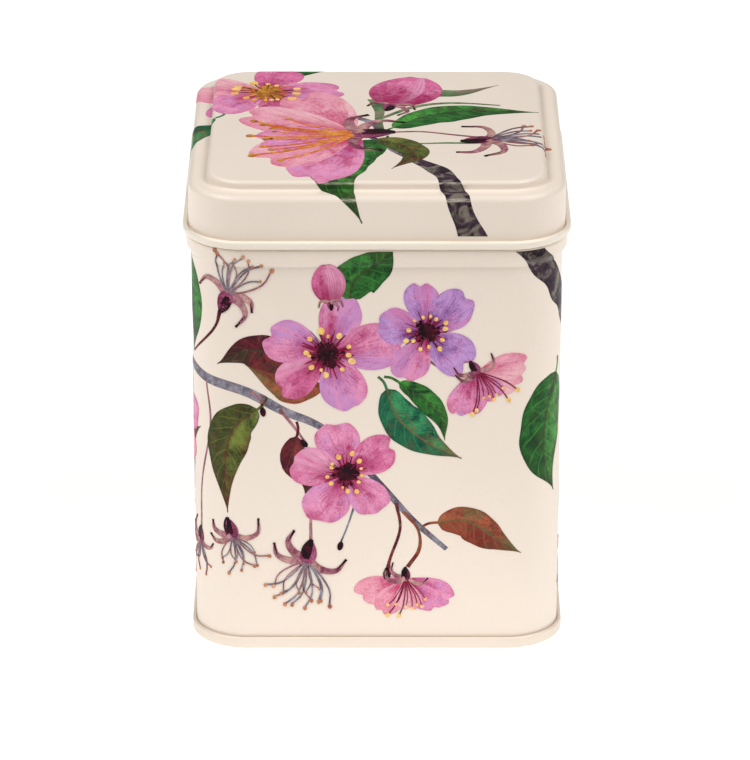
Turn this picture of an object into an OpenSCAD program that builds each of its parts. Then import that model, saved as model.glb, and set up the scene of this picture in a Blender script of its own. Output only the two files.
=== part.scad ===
// Square tinplate tea caddy with round corners: a lift-off stepped lid, a one-sheet wall
// with a stop bead and a hemmed neck, and a countersunk base seamed on at the foot.
// Millimetres. The origin is the centre of the foot, +Z is up and -Y is the front.

/* [Overall] */
// Width and depth over the flat walls
wall_w = 76; // [60:0.5:120]
// Height from the foot to the top of the lid
total_h = 102.5; // [70:0.5:200]
// Outer radius of the wall's upright corners
corner_r = 11; // [9:0.5:20]

/* [Sheet] */
// Thickness of the tinplate
sheet = 0.25; // [0.18:0.01:0.32]
// Gap between the folded layers of a seam, hem or curl
fold_gap = 0.05; // [0.03:0.01:0.08]

/* [Lid] */
// Height of the lid, from the underside of its curl to its top
lid_h = 13; // [10:0.5:30]
// Gap between the neck and the lid's skirt, on each side
lid_gap = 0.3; // [0.15:0.05:0.6]
// How far the raised panel stands above the ledge around it
panel_step = 1.9; // [1.5:0.1:4]
// Width of the ledge, from the skirt's outer face to the riser
ledge_w = 3.95; // [2.5:0.05:5]
// Radius of the shoulder between the skirt and the ledge
shoulder_r = 1.3; // [0.6:0.1:1.6]
// Radius of the panel's rounded edge
panel_r = 0.8; // [0.5:0.1:1]
// Radius in the corner at the foot of the riser
riser_r = 0.4; // [0.2:0.1:0.4]
// How far the lid's curl stands out from the skirt
curl_out = 1.2; // [0.9:0.05:2]
// Height of the lid's curl
curl_h = 1.8; // [1.6:0.1:3]

/* [Neck] */
// How far the stop bead under the lid stands out from the wall
bead_out = 1.05; // [0.8:0.05:1.2]
// Height of the stop bead's upright band
bead_band = 2.3; // [1:0.1:3]
// Height of the stop bead's sloping lower flank
bead_slope = 1.7; // [1:0.1:3]
// How much the stop bead's top rises towards the neck
bead_rise = 0.25; // [0.1:0.05:0.3]
// Gap left between the lid's ledge and the top of the neck
neck_gap = 1.8; // [1:0.1:4]
// Depth of the hem that is folded inwards at the mouth
hem_h = 3; // [1.5:0.5:5]

/* [Side seam] */
// Width of the lock seam down the inside of the back wall
lock_w = 4.5; // [3:0.5:8]
// Depth of the line that the lock seam shows outside
lock_line = 0.1; // [0.05:0.01:0.15]
// How far above the base panel the lock seam starts
lock_rise = 1.5; // [1:0.1:4]

/* [Base] */
// Height of the double seam at the foot
seam_h = 2.4; // [2:0.1:3]
// How far the base panel is sunk above the foot
recess = 2.6; // [2.4:0.1:5]
// Height of the step around the base panel's centre
base_step = 0.7; // [0.6:0.05:1.5]
// Width of the base panel's outer ring, from the corner arcs' centres
base_ring = 5; // [3:0.5:8]
// Inner radius of the bends at the foot
foot_bend = 0.2; // [0.15:0.05:0.3]
// Inner radius of the bend from the foot to the base panel
panel_bend = 0.3; // [0.2:0.05:0.5]

/* [Hidden] */
$fn = 96;

ivory = [0.93, 0.89, 0.83];
lacquer = [0.95, 0.91, 0.84];

half_sheet = sheet / 2;
overlap = 0.01;      // how far neighbouring stretches of one sheet run into each other
core = wall_w / 2 - corner_r;   // half the square that joins the corner arcs' centres
// Places across the section are distances outwards from that square.
wall_in = corner_r - sheet;
wall_mid = corner_r - half_sheet;

// Double seam, from the inside out: base wall, can wall, base hook, wall hook, base skirt.
layer = sheet + fold_gap;
chuck_in = wall_in - layer;
base_hook_in = corner_r + fold_gap;
wall_hook_in = base_hook_in + layer;
seam_out = wall_hook_in + sheet + layer;
wall_bend_r = (wall_hook_in + sheet - wall_in) / 2;
base_bend_r = (seam_out - base_hook_in) / 2;
foot_r = sheet + foot_bend;
wall_bend_z = layer + wall_bend_r;
base_bend_z = seam_h - base_bend_r;
hook_lap = base_bend_z - wall_bend_z - fold_gap;
base_fold_r = sheet + panel_bend;

// Lid
lid_z = total_h - lid_h;
skirt_in = corner_r + lid_gap;
skirt_out = skirt_in + sheet;
ledge_z = total_h - panel_step;
riser_out = skirt_out - ledge_w;
curl_edge = skirt_out + curl_out;
curl_low_r = (curl_edge - skirt_in) / 2;
curl_top_r = (curl_out - fold_gap) / 2;
curl_low_z = lid_z + curl_low_r;
curl_top_z = lid_z + curl_h - curl_top_r;

// Neck: the lid's curl rests on the bead's crest, so the crest's height follows the curl's
// round underside at that distance out.
crest_x = wall_mid + bead_out;
curl_drop = curl_low_r * sqrt(1 - pow((skirt_in + curl_low_r - crest_x) / curl_low_r, 2));
crest_z = curl_low_z - curl_drop - half_sheet - 2 * fold_gap;
band_z = crest_z - bead_band;
bead_foot_z = band_z - bead_slope;
neck_foot_z = crest_z + bead_rise;
hem_r = sheet + fold_gap;
neck_top_z = ledge_z - sheet - neck_gap;
hem_z = neck_top_z - hem_r;

lock_z = recess + 2 * sheet + lock_rise;
lock_layers = 3 * sheet;

// A straight stretch of sheet between two points on its middle line.
module leg(from, to) {
    run = to - from;
    translate(from)
        rotate(atan2(run.y, run.x))
            translate([-overlap, -half_sheet])
                square([norm(run) + 2 * overlap, sheet]);
}

// The round outside of a crease in the sheet, at a point on its middle line.
module crease(at) {
    translate(at)
        circle(d = sheet);
}

// A quarter bend of the sheet with outer radius r, starting at the angle from.
module quarter_bend(centre, r, from) {
    translate(centre)
        rotate(from)
            intersection() {
                difference() {
                    circle(r);
                    circle(r - sheet);
                }
                square(r);
            }
}

// A half bend, from the angle from on through two quarters.
module half_bend(centre, r, from) {
    quarter_bend(centre, r, from);
    quarter_bend(centre, r, from + 90);
}

// Takes a section round the tin: four straight sides and four corners.
module around() {
    for (turn = [0:90:270])
        rotate(turn) {
            translate([core, core, 0])
                rotate([90, 0, 0])
                    linear_extrude(2 * core)
                        children();
            translate([core, core, 0])
                rotate_extrude(angle = 90)
                    children();
        }
}

// The flat middle of a panel, with its underside at z.
module middle(z) {
    translate([-core - overlap, -core - overlap, z])
        cube([2 * (core + overlap), 2 * (core + overlap), sheet]);
}

module wall_section() {
    // hook in the foot seam
    leg([wall_hook_in + half_sheet, wall_bend_z + hook_lap], [wall_hook_in + half_sheet, wall_bend_z]);
    half_bend([wall_in + wall_bend_r, wall_bend_z], wall_bend_r, 180);
    // wall and stop bead
    leg([wall_mid, wall_bend_z], [wall_mid, bead_foot_z]);
    crease([wall_mid, bead_foot_z]);
    leg([wall_mid, bead_foot_z], [crest_x, band_z]);
    crease([crest_x, band_z]);
    leg([crest_x, band_z], [crest_x, crest_z]);
    crease([crest_x, crest_z]);
    leg([crest_x, crest_z], [wall_mid, neck_foot_z]);
    crease([wall_mid, neck_foot_z]);
    // neck and hem
    leg([wall_mid, neck_foot_z], [wall_mid, hem_z]);
    half_bend([corner_r - hem_r, hem_z], hem_r, 0);
    leg([corner_r - 2 * hem_r + half_sheet, hem_z], [corner_r - 2 * hem_r + half_sheet, hem_z - hem_h]);
}

module lock_fold() {
    translate([-lock_w / 2, core + wall_in - lock_layers, lock_z])
        cube([lock_w, lock_layers + half_sheet, bead_foot_z - lock_z - sheet]);
}

module lock_cut() {
    translate([lock_w / 2, core + corner_r - lock_line, seam_h])
        cube([sheet, lock_line + sheet, bead_foot_z - seam_h - sheet]);
}

module body_wall() {
    color(ivory)
        difference() {
            union() {
                around()
                    wall_section();
                lock_fold();
            }
            lock_cut();
        }
}

module base_section() {
    // skirt and hook of the foot seam
    leg([base_hook_in + half_sheet, base_bend_z - hook_lap], [base_hook_in + half_sheet, base_bend_z]);
    half_bend([base_hook_in + base_bend_r, base_bend_z], base_bend_r, 0);
    leg([seam_out - half_sheet, base_bend_z], [seam_out - half_sheet, foot_r]);
    // foot that the tin stands on
    quarter_bend([seam_out - foot_r, foot_r], foot_r, 270);
    leg([seam_out - foot_r, half_sheet], [chuck_in + foot_r, half_sheet]);
    quarter_bend([chuck_in + foot_r, foot_r], foot_r, 180);
    // countersunk wall and panel
    leg([chuck_in + half_sheet, foot_r], [chuck_in + half_sheet, recess + sheet - base_fold_r]);
    quarter_bend([chuck_in + sheet - base_fold_r, recess + sheet - base_fold_r], base_fold_r, 0);
    leg([chuck_in + sheet - base_fold_r, recess + half_sheet], [base_ring, recess + half_sheet]);
    crease([base_ring, recess + half_sheet]);
    leg([base_ring, recess + half_sheet], [base_ring - base_step, recess + base_step + half_sheet]);
    crease([base_ring - base_step, recess + base_step + half_sheet]);
    translate([0, recess + base_step])
        square([base_ring - base_step, sheet]);
}

module base_end() {
    color(lacquer) {
        around()
            base_section();
        middle(recess + base_step);
    }
}

module lid_section() {
    // curl at the rim
    half_bend([curl_edge - curl_top_r, curl_top_z], curl_top_r, 0);
    leg([curl_edge - half_sheet, curl_top_z], [curl_edge - half_sheet, curl_low_z]);
    half_bend([skirt_in + curl_low_r, curl_low_z], curl_low_r, 180);
    // skirt, shoulder and ledge
    leg([skirt_in + half_sheet, curl_low_z], [skirt_in + half_sheet, ledge_z - shoulder_r]);
    quarter_bend([skirt_out - shoulder_r, ledge_z - shoulder_r], shoulder_r, 0);
    leg([skirt_out - shoulder_r, ledge_z - half_sheet], [riser_out + riser_r, ledge_z - half_sheet]);
    // riser and raised panel
    quarter_bend([riser_out + riser_r, ledge_z + riser_r], riser_r + sheet, 180);
    leg([riser_out - half_sheet, ledge_z + riser_r], [riser_out - half_sheet, total_h - panel_r]);
    quarter_bend([riser_out - panel_r, total_h - panel_r], panel_r, 0);
    translate([0, total_h - sheet])
        square([riser_out - panel_r + overlap, sheet]);
}

module lid() {
    color(ivory) {
        around()
            lid_section();
        middle(total_h - sheet);
    }
}

body_wall();
base_end();
lid();
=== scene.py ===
import math
import random

import bmesh
import bpy
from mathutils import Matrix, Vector
from mathutils.kdtree import KDTree


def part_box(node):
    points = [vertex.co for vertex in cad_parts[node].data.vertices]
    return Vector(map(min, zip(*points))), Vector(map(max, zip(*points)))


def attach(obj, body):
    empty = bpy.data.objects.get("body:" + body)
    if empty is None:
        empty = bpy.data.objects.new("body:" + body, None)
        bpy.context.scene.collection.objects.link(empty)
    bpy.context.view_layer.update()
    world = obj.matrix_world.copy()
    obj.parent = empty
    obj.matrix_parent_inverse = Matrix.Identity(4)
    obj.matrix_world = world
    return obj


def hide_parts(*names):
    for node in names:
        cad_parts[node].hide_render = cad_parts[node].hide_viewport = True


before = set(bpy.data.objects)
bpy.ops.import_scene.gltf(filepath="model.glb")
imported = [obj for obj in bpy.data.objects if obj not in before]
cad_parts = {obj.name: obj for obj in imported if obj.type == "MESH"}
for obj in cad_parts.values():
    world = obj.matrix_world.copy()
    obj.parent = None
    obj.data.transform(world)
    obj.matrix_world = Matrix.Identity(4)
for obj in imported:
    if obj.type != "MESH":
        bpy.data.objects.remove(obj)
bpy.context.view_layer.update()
print("frame loaded", sorted(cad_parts))

mm = 0.001

# Sizes of the tin, in metres. Its heights come from the frame.
tinSizes = {
    "wallWidth": 76 * mm,
    "cornerRadius": 11 * mm,
    "cornerSteps": 24,
    "sheet": 0.25 * mm,
    "foldGap": 0.05 * mm,
    "topZ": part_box("lid")[1][2],
    "footZ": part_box("base_end")[0][2],
}
lidSizes = {
    "rimZ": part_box("lid")[0][2],
    "skirtGap": 0.3 * mm,
    "panelStep": 1.9 * mm,
    "ledgeWidth": 3.95 * mm,
    "shoulderRadius": 1.3 * mm,
    "panelRadius": 0.8 * mm,
    "riserRadius": 0.4 * mm,
    "curlReach": 1.2 * mm,
    "curlHeight": 1.8 * mm,
}
lidBends = ("panel", "riser", "shoulder")
neckSizes = {
    "topZ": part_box("body_wall")[1][2],
    "beadReach": 1.05 * mm,
    "beadBand": 2.3 * mm,
    "beadSlope": 1.7 * mm,
    "beadRise": 0.25 * mm,
    "hemDepth": 3 * mm,
    "creaseRadius": 0.35 * mm,
    "lockWidth": 4.5 * mm,
    "lockRise": 1.5 * mm,
}
baseSizes = {
    "seamHeight": 2.4 * mm,
    "recess": 2.6 * mm,
    "panelStep": 0.7 * mm,
    "ringWidth": 5 * mm,
    "footRadius": 0.45 * mm,
    "foldRadius": 0.55 * mm,
}


def lerp(a, b, t):
    return a + (b - a) * t


def arc(centre, radius, start, end, step=9):
    count = max(2, math.ceil(abs(end - start) / step))
    angles = [math.radians(lerp(start, end, i / count)) for i in range(count + 1)]
    return [(centre[0] + radius * math.cos(a), centre[1] + radius * math.sin(a)) for a in angles]


def dropRepeats(points):
    kept = [points[0]]
    for p in points[1:]:
        if math.dist(p, kept[-1]) > 0.002 * mm:
            kept.append(p)
    return kept


# Both faces of a bent sheet, from its middle line.
def sheetFaces(line, thickness):
    line = dropRepeats(line)
    left, right = [], []
    for i, (x, z) in enumerate(line):
        x0, z0 = line[max(i - 1, 0)]
        x1, z1 = line[min(i + 1, len(line) - 1)]
        run = math.hypot(x1 - x0, z1 - z0)
        nx, nz = -(z1 - z0) / run * thickness / 2, (x1 - x0) / run * thickness / 2
        left.append((x + nx, z + nz))
        right.append((x - nx, z - nz))
    return left, right


# A few more points next to each bend keep the shading of the flats clean.
def withSupports(points, reach=0.25 * mm):
    result = [points[0]]
    for a, b in zip(points, points[1:]):
        length = math.dist(a, b)
        if length > 3 * reach:
            for share in (reach / length, 1 - reach / length):
                result.append((lerp(a[0], b[0], share), lerp(a[1], b[1], share)))
        result.append(b)
    return result


corner = tinSizes["cornerRadius"]
sheet = tinSizes["sheet"]
foldGap = tinSizes["foldGap"]
core = tinSizes["wallWidth"] / 2 - corner
halfSheet = sheet / 2
layerPitch = sheet + foldGap
skirtOut = corner + lidSizes["skirtGap"] + sheet
ledgeZ = tinSizes["topZ"] - lidSizes["panelStep"]
riserOut = skirtOut - lidSizes["ledgeWidth"]
curlLowRadius = (lidSizes["curlReach"] + sheet) / 2
curlTopRadius = (lidSizes["curlReach"] - foldGap) / 2
curlLowZ = lidSizes["rimZ"] + curlLowRadius
curlTopZ = lidSizes["rimZ"] + lidSizes["curlHeight"] - curlTopRadius
crestX = corner - halfSheet + neckSizes["beadReach"]
curlDrop = math.sqrt(curlLowRadius ** 2 - (corner + lidSizes["skirtGap"] + curlLowRadius - crestX) ** 2)
crestZ = curlLowZ - curlDrop - halfSheet - 2 * foldGap
bandZ = crestZ - neckSizes["beadBand"]
beadFootZ = bandZ - neckSizes["beadSlope"]
neckFootZ = crestZ + neckSizes["beadRise"]


# The lid from its panel's edge to its skirt, at a distance inside its outer face.
# x is measured out from the core square, z is the height.
def lidArcs(inset, step):
    topZ, panel, riser, shoulder = tinSizes["topZ"], *(lidSizes[k + "Radius"] for k in lidBends)
    line = arc((riserOut - panel, topZ - panel), panel - inset, 90, 0, step)
    line += arc((riserOut + riser, ledgeZ + riser), riser + inset, 180, 270, step)
    line += arc((skirtOut - shoulder, ledgeZ - shoulder), shoulder - inset, 90, 0, min(step, 7))
    return line


# Middle line of the lid's sheet.
def lidLine():
    line = [(2 * mm, tinSizes["topZ"] - halfSheet)] + lidArcs(halfSheet, 9)
    line += arc((skirtOut - sheet + curlLowRadius, curlLowZ), curlLowRadius - halfSheet, 180, 360)
    curlX = skirtOut + lidSizes["curlReach"] - curlTopRadius
    line += arc((curlX, curlTopZ), curlTopRadius - halfSheet, 0, 180)
    return line


# A crease of the sheet as a small arc between two straight runs.
def crease(before, at, after, radius):
    a, p, b = Vector(before), Vector(at), Vector(after)
    u, v = (a - p).normalized(), (b - p).normalized()
    half = math.acos(max(-1, min(1, u.dot(v)))) / 2
    reach = radius / math.tan(half)
    start, end = p + u * reach, p + v * reach
    shares = [i / 6 for i in range(7)]
    return [tuple(start * (1 - t) ** 2 + p * 2 * t * (1 - t) + end * t ** 2) for t in shares]


def wallLine():
    wallMid = corner - halfSheet
    bendRadius = (foldGap * 2 + 3 * sheet) / 2
    bendZ = layerPitch + bendRadius
    hookTop = baseSizes["seamHeight"] - (2 * foldGap + 3 * sheet) / 2 - foldGap
    hookX = corner + foldGap + layerPitch + halfSheet
    line = [(hookX, hookTop)]
    line += arc((corner - sheet + bendRadius, bendZ), bendRadius - halfSheet, 360, 180)
    hemRadius = sheet + foldGap
    hemZ = neckSizes["topZ"] - hemRadius
    stops = [(wallMid, bendZ), (wallMid, beadFootZ), (crestX, bandZ)]
    stops += [(crestX, crestZ), (wallMid, neckFootZ), (wallMid, hemZ)]
    for before, at, after in zip(stops, stops[1:], stops[2:]):
        line += crease(before, at, after, neckSizes["creaseRadius"])
    line += arc((corner - hemRadius, hemZ), hemRadius - halfSheet, 0, 180, 15)
    line.append((corner - 2 * hemRadius + halfSheet, hemZ - neckSizes["hemDepth"]))
    return line


def baseLine():
    hookRadius = (2 * foldGap + 3 * sheet) / 2
    hookX = corner + foldGap
    hookZ = baseSizes["seamHeight"] - hookRadius
    seamOut = hookX + 2 * hookRadius
    chuckIn = corner - sheet - layerPitch
    foot, fold = baseSizes["footRadius"], baseSizes["foldRadius"]
    panelZ = baseSizes["recess"] + halfSheet
    line = [(hookX + halfSheet, hookZ - 0.9 * mm)]
    line += arc((hookX + hookRadius, hookZ), hookRadius - halfSheet, 180, 0)
    line += arc((seamOut - foot, foot), foot - halfSheet, 0, -90)
    line += arc((chuckIn + foot, foot), foot - halfSheet, 270, 180)
    line += arc((chuckIn + sheet - fold, panelZ + halfSheet - fold), fold - halfSheet, 0, 90)
    ring, step = baseSizes["ringWidth"], baseSizes["panelStep"]
    inner = (2 * mm, panelZ + step)
    line += crease((ring + 1 * mm, panelZ), (ring, panelZ), (ring - step, panelZ + step), 0.3 * mm)
    line += crease((ring, panelZ), (ring - step, panelZ + step), inner, 0.3 * mm)
    line.append(inner)
    return line[::-1]


# A node tree that is being built. Most methods add one node and return its first output.
class Graph:
    def __init__(self, tree):
        self.tree = tree

    def link(self, source, target):
        self.tree.links.new(source, target)

    def node(self, kind, values=None, **settings):
        made = self.tree.nodes.new(kind)
        for key, value in settings.items():
            setattr(made, key, value)
        for key, value in (values or {}).items():
            if isinstance(value, bpy.types.NodeSocket):
                self.link(value, made.inputs[key])
            else:
                made.inputs[key].default_value = value
        return made

    def put(self, kind, values=None, **settings):
        return self.node(kind, values, **settings).outputs[0]

    def maths(self, operation, *operands):
        return self.put("ShaderNodeMath", dict(enumerate(operands)), operation=operation)

    def add(self, *operands):
        return self.maths("ADD", *operands)

    def multiply(self, *operands):
        return self.maths("MULTIPLY", *operands)

    def multiplyAdd(self, *operands):
        return self.maths("MULTIPLY_ADD", *operands)

    def vector(self, operation, *operands):
        values = dict(enumerate(operands))
        if operation == "SCALE":
            values = {0: operands[0], "Scale": operands[1]}
        outputs = self.node("ShaderNodeVectorMath", values, operation=operation).outputs
        return outputs["Value" if operation == "LENGTH" else "Vector"]

    def split(self, vector):
        return self.node("ShaderNodeSeparateXYZ", {0: vector}).outputs

    def join(self, **parts):
        return self.put("ShaderNodeCombineXYZ", parts)

    def fade(self, value, low, high, start=0.0, end=1.0):
        return self.put("ShaderNodeMapRange", {0: value, 1: low, 2: high, 3: start, 4: end})

    def shape(self, source):
        info = self.node("GeometryNodeObjectInfo", {"Object": source}, transform_space="RELATIVE")
        return info.outputs["Geometry"]

    def sampleCurve(self, curve, run):
        values = {"Curves": curve, "Length": run}
        return self.node("GeometryNodeSampleCurve", values, mode="LENGTH").outputs

    def place(self):
        return self.node("ShaderNodeTexCoord").outputs["Object"]

    def mark(self, name, output):
        return self.node("ShaderNodeAttribute", attribute_name=name).outputs[output]

    def noise(self, place, scale, detail=2.0, distortion=0.0, rough=0.5):
        values = {"Vector": place, "Scale": scale, "Detail": detail}
        values.update({"Distortion": distortion, "Roughness": rough})
        return self.node("ShaderNodeTexNoise", values).outputs["Fac"]

    def mix(self, factor, first, second, blend="MIX"):
        values = {0: factor, 6: first, 7: second}
        return self.node("ShaderNodeMix", values, data_type="RGBA", blend_type=blend).outputs[2]

    def grey(self, level):
        return self.put("ShaderNodeCombineColor", {0: level, 1: level, 2: level})

    # A colour made darker or lighter by a level.
    def shade(self, colour, level):
        return self.mix(1.0, colour, self.grey(level), "MULTIPLY")

    def group(self, tree, values):
        return self.node("ShaderNodeGroup", values, node_tree=tree).outputs


# Sockets are given as {name: kind}. Returns the graph, what goes in and what comes out.
def newTree(name, kind, inputs, outputs):
    tree = bpy.data.node_groups.new(name, kind + "NodeTree")
    for side, sockets in (("INPUT", inputs), ("OUTPUT", outputs)):
        for key, socketKind in sockets.items():
            tree.interface.new_socket(key, in_out=side, socket_type="NodeSocket" + socketKind)
    given, result = tree.nodes.new("NodeGroupInput"), tree.nodes.new("NodeGroupOutput")
    return Graph(tree), given.outputs, result.inputs


def finishTree(g, given, result, geometry):
    real = g.put("GeometryNodeRealizeInstances", {"Geometry": geometry})
    values = {"Geometry": real, "Material": given["Material"]}
    g.link(g.put("GeometryNodeSetMaterial", values), result[0])
    return g.tree


def addObject(name, data):
    made = bpy.data.objects.new(name, data)
    bpy.context.scene.collection.objects.link(made)
    return made


# Runs trees one after another on an object and returns the result as a plain mesh object.
def runTrees(source, steps, name):
    for tree, values in steps:
        modifier = source.modifiers.new(tree.name, "NODES")
        modifier.node_group = tree
        sockets = {s.name: s.identifier for s in tree.interface.items_tree if s.in_out == "INPUT"}
        for key, value in values.items():
            modifier[sockets[key]] = value
    graph = bpy.context.evaluated_depsgraph_get()
    graph.update()
    mesh = bpy.data.meshes.new_from_object(source.evaluated_get(graph), depsgraph=graph)
    mesh.name = name
    made = addObject(name, mesh)
    source.modifiers.clear()
    bpy.data.objects.remove(source)
    return made


def polyCurve(name, points, closed):
    curve = bpy.data.curves.new(name, "CURVE")
    curve.dimensions = "3D"
    spline = curve.splines.new("POLY")
    spline.points.add(len(points) - 1)
    for point, place in zip(spline.points, points):
        point.co = (*place, 1)
    spline.use_cyclic_u = closed
    return addObject(name, curve)


# The path round the tin at the wall's outer face. It starts at the front's middle and runs to +X.
def wallPath():
    points = [(0.0, -core - corner)]
    for turn in range(4):
        start = -90 + 90 * turn
        centre = (core * (1, 1, -1, -1)[turn], core * (-1, 1, 1, -1)[turn])
        points += arc(centre, corner, start, start + 90, 90 / tinSizes["cornerSteps"])
    return polyCurve("wallPath", [(x, y, 0.0) for x, y in points], True)


pathRound = wallPath()


# Sweeps a section round the tin. The section's x is measured out from the path.
def buildSweepTree():
    inputs = {"Section": "Geometry", "Path": "Object", "Material": "Material"}
    g, given, result = newTree("sweepSheet", "Geometry", inputs, {"Shell": "Geometry"})
    curves = {"Curve": g.shape(given["Path"]), "Profile Curve": given["Section"]}
    return finishTree(g, given, result, g.put("GeometryNodeCurveToMesh", curves))


sweepTree = buildSweepTree()


# Runs a change on a mesh through bmesh.
def reshape(mesh, change):
    work = bmesh.new()
    work.from_mesh(mesh)
    change(work)
    work.to_mesh(mesh)
    work.free()


def turnOutward(work):
    bmesh.ops.recalc_face_normals(work, faces=work.faces)


def addMarks(mesh, name, kind, key, values):
    layer = mesh.attributes.new(name, kind, "POINT")
    layer.data.foreach_set(key, values)


def fillHoles(work):
    openEdges = [e for e in work.edges if e.is_boundary]
    if openEdges:
        bmesh.ops.holes_fill(work, edges=openEdges, sides=0)


# Marks the points of a pressed sheet that lie on the section's inner face.
def markInside(mesh, outer, inner):
    finder = KDTree(len(outer) + len(inner))
    for i, (x, z) in enumerate(outer + inner):
        finder.insert((x, z, 0), i)
    finder.balance()
    marks = []
    for x, y, z in (vertex.co for vertex in mesh.vertices):
        out = math.hypot(max(abs(x) - core, 0), max(abs(y) - core, 0))
        marks.append(float(finder.find((out, z, 0))[1] >= len(outer)))
    addMarks(mesh, "inside", "FLOAT", "value", marks)


# One pressed sheet: the section goes round the tin, its open middle is closed flat, and bends are
# shaded smooth.
def pressedSheet(name, line, material, body, node):
    left, right = sheetFaces(withSupports(line), sheet)
    section = [(x - corner, -z, 0.0) for x, z in left + right[::-1]]
    source = polyCurve(name + "Section", section, name == "wallShell")
    made = runTrees(source, [(sweepTree, {"Path": pathRound, "Material": material})], name)

    def close(work):
        bmesh.ops.remove_doubles(work, verts=work.verts, dist=0.001 * mm)
        fillHoles(work)
        turnOutward(work)

    reshape(made.data, close)
    markInside(made.data, *((left, right) if node == "lid" else (right, left)))
    made.data.shade_smooth()
    made.data.set_sharp_from_angle(angle=math.radians(40))
    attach(made, body)
    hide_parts(node)
    print(name, "faces", len(made.data.polygons))
    return made


# The outer line of the lid, from the edge of the core square to the curl.
def lidOutline():
    return [(0.0, tinSizes["topZ"])] + lidArcs(0, 6) + [(skirtOut, curlTopZ)]


# Films and art are in millimetres. A film is made of thin closed slabs, laid flat.
filmSizes = {
    "sunk": 0.03,
    "step": 0.0025,
    "pitch": 0.8,
    "finePitch": 0.28,
    "stamenBase": 0.177,
    "wallFoot": 2.6,
    "wallTop": crestZ / mm - 0.25,
    "lidDrop": 13.2,
    "flareEarly": 0.08,
    "flareLift": 0.01,
}
# The print turns out over the bead a little early, to clear the sheet's own thickness in the bend.
flareStart, flareEnd = (z - filmSizes["flareEarly"] * mm for z in (beadFootZ, bandZ))
# Each kind of drawing has its own height above the sheet, and its slabs take turns at a few levels
# inside it, so that no two lie flush where they cross.
filmLevels = {"twigs": (0.027, 8), "leaves": (0.049, 12), "petals": (0.082, 20), "lines": (0.134, 16)}


def rgb(*levels):
    shares = [c / 255 for c in levels]
    return tuple(c / 12.92 if c < 0.0405 else ((c + 0.055) / 1.055) ** 2.4 for c in shares)


colourNames = ("inkDeep", "inkPale", "inkAccent")
# Deep, pale and accent colour of each ink.
inks = {
    "rose": ((178, 52, 106), (233, 152, 190), (190, 144, 206)),
    "magenta": ((158, 32, 86), (222, 118, 164), (240, 178, 206)),
    "mauve": ((126, 66, 138), (198, 154, 212), (216, 122, 170)),
    "blush": ((196, 62, 108), (234, 158, 178), (244, 198, 200)),
    "green": ((8, 56, 28), (82, 164, 68), (60, 50, 34)),
    "teal": ((4, 66, 54), (66, 158, 100), (128, 92, 52)),
    "olive": ((44, 50, 24), (122, 134, 60), (98, 34, 36)),
    "wine": ((66, 8, 30), (146, 60, 58), (44, 56, 36)),
    "rust": ((112, 34, 30), (180, 104, 70), (62, 100, 58)),
    "bark": ((24, 12, 20), (84, 62, 78), (168, 158, 140)),
    "slate": ((84, 76, 92), (172, 170, 182), (128, 84, 88)),
    "stem": ((128, 66, 82), (194, 146, 154), (132, 96, 78)),
    "sprout": ((58, 92, 58), (140, 160, 116), (150, 110, 104)),
    "sepal": ((122, 54, 78), (202, 152, 156), (216, 176, 152)),
    "cup": ((96, 20, 56), (190, 100, 136), (120, 60, 110)),
    "heart": ((14, 0, 8), (44, 2, 20), (90, 8, 36)),
    "crimson": ((104, 8, 44), (178, 36, 84), (80, 12, 48)),
    "gold": ((150, 84, 24), (228, 166, 62), (120, 40, 30)),
    "amber": ((196, 84, 30), (244, 178, 84), (206, 60, 70)),
    "pollen": ((236, 176, 88), (252, 226, 146), (246, 200, 120)),
    "ochre": ((166, 96, 66), (222, 166, 124), (150, 80, 70)),
}


def newFilm(base=0.0, levels=4, sunk=filmSizes["sunk"]):
    film = {"base": base, "levels": levels, "sunk": sunk, "slabs": 0}
    return {**film, "places": [], "faces": [], "inkSpot": [], **{name: [] for name in colourNames}}


def addSlab(film, grid, spots, inkName):
    rows, cols = len(grid), len(grid[0])
    start, count = len(film["places"]), len(grid) * len(grid[0])
    top = film["base"] + filmSizes["step"] * (film["slabs"] % film["levels"])
    film["slabs"] += 1
    for height in (top, -film["sunk"]):
        for gridRow, spotRow in zip(grid, spots):
            film["places"] += [(x, y, height) for x, y in gridRow]
            film["inkSpot"] += spotRow
    for name, colour in zip(colourNames, inks[inkName]):
        film[name] += [rgb(*colour)] * (2 * count)

    def at(i, j, low=0):
        return start + low * count + i * cols + j

    for i in range(rows - 1):
        for j in range(cols - 1):
            film["faces"].append((at(i, j), at(i, j + 1), at(i + 1, j + 1), at(i + 1, j)))
            film["faces"].append((at(i, j, 1), at(i + 1, j, 1), at(i + 1, j + 1, 1), at(i, j + 1, 1)))
    rim = [(0, j) for j in range(cols)] + [(i, cols - 1) for i in range(1, rows)]
    rim += [(rows - 1, j) for j in range(cols - 2, -1, -1)] + [(i, 0) for i in range(rows - 2, 0, -1)]
    for a, b in zip(rim, rim[1:] + rim[:1]):
        film["faces"].append((at(*a), at(*a, 1), at(*b, 1), at(*b)))


# A smooth route through given points, with its direction at each step.
def smoothRoute(points, steps):
    pts = [Vector(p) for p in points]
    pts = [pts[0] * 2 - pts[1]] + pts + [pts[-1] * 2 - pts[-2]]
    spans = len(pts) - 3
    route = []
    for i in range(steps + 1):
        place = min(i / steps * spans, spans - 1e-6)
        k = int(place)
        t = place - k
        a, b, c, d = pts[k:k + 4]
        slope, bend, twist = c - a, 2 * a - 5 * b + 4 * c - d, 3 * b - a - 3 * c + d
        p = 0.5 * (2 * b + slope * t + bend * t ** 2 + twist * t ** 3)
        v = 0.5 * (slope + 2 * bend * t + 3 * twist * t ** 2)
        route.append((p, v.normalized()))
    return route


# Where something stands at an angle and a distance from a middle.
def away(centre, angle, distance):
    return centre[0] + distance * math.cos(angle), centre[1] + distance * math.sin(angle)


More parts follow.
